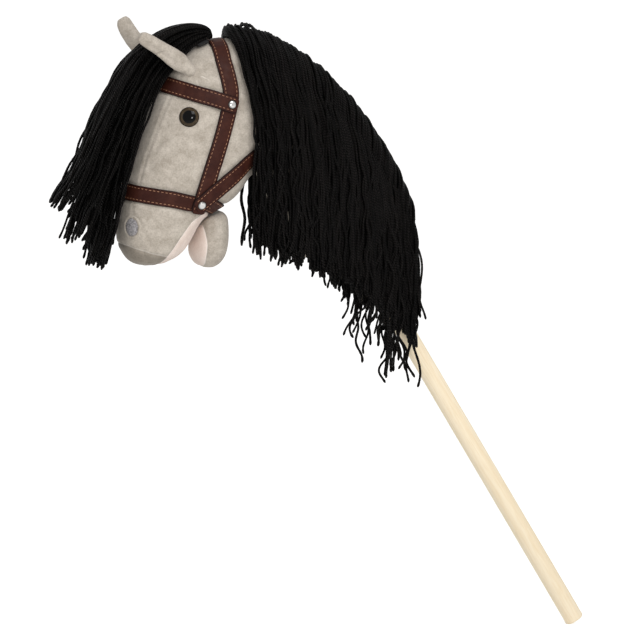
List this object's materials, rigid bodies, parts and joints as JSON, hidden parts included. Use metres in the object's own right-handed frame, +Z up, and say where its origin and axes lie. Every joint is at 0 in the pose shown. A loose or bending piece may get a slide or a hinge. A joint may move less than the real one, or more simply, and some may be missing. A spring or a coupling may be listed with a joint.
{
  "type": "hobby horse",
  "caption": "Stuffed plush horse's head and neck with a yarn mane and forelock, a riveted strap bridle and a rein, on a long round wooden stick.",
  "frame": {"origin": "centre of the stick's flat lower end", "axes": "+Z up as the horse is held for riding, the horse looks towards -X with its left side on -Y, and the stick leans 31 degrees back from the head in the XZ plane"},
  "size_m": [0.7165, 0.1444, 0.8043],
  "materials": {
    "wood": "bare sanded pale wood",
    "plush": "short soft pile, warm grey",
    "plush_dark": "short pile, darker grey",
    "lining": "short pile, pale pink",
    "nostril_cloth": "mottled grey cloth",
    "strap": "dark brown imitation leather with tan stitching",
    "tape": "black woven tape",
    "yarn": "black twisted yarn",
    "steel": "polished domed caps",
    "eye": "glossy dark brown with a black pupil",
    "nylon": "white washer"
  },
  "bodies": {
    "horse": {"stick": "wood", "head": "plush", "neck": "plush", "neck_base_panel": "plush", "lower_jaw": "plush", "upper_lip": "plush_dark", "upper_mouth_lining": "lining", "lower_mouth_lining": "lining", "nostril_patch_left": "nostril_cloth", "nostril_patch_right": "nostril_cloth", "noseband": "strap", "crown_strap": "strap", "browband": "strap", "rein": "strap", "mane_tape": "tape", "forelock_tape": "tape", "brow_rivet_left": "steel", "brow_rivet_right": "steel", "cheek_rivet_left": "steel", "cheek_rivet_right": "steel", "eye_left": "eye", "eye_right": "eye", "eye_washer_left": "nylon", "eye_washer_right": "nylon", "mane_lock_left_1": "yarn", "mane_lock_left_2": "yarn", "mane_lock_left_3": "yarn", "mane_lock_left_4": "yarn", "mane_lock_left_5": "yarn", "mane_lock_left_6": "yarn", "mane_lock_left_7": "yarn", "mane_lock_left_8": "yarn", "mane_lock_right_1": "yarn", "mane_lock_right_2": "yarn", "mane_lock_right_3": "yarn", "mane_lock_right_4": "yarn", "mane_lock_right_5": "yarn", "mane_lock_right_6": "yarn", "mane_lock_right_7": "yarn", "mane_lock_right_8": "yarn", "forelock_left_1": "yarn", "forelock_left_2": "yarn", "forelock_left_3": "yarn", "forelock_right_1": "yarn", "forelock_right_2": "yarn", "forelock_right_3": "yarn"},
    "ear_left": {"ear_left": "plush"},
    "ear_right": {"ear_right": "plush"}
  },
  "joints": [
    {"name": "ear_left_flop", "type": "hinge", "parent": "horse", "child": "ear_left", "pos_m": [-0.53541, -0.03613, 0.73947], "axis": [0, 1, 0], "range_deg": [-10, 45], "stiffness_Nm_per_rad": 0.1},
    {"name": "ear_right_flop", "type": "hinge", "parent": "horse", "child": "ear_right", "pos_m": [-0.54171, 0.03106, 0.73961], "axis": [0, 1, 0], "range_deg": [-20, 30], "stiffness_Nm_per_rad": 0.1}
  ]
}
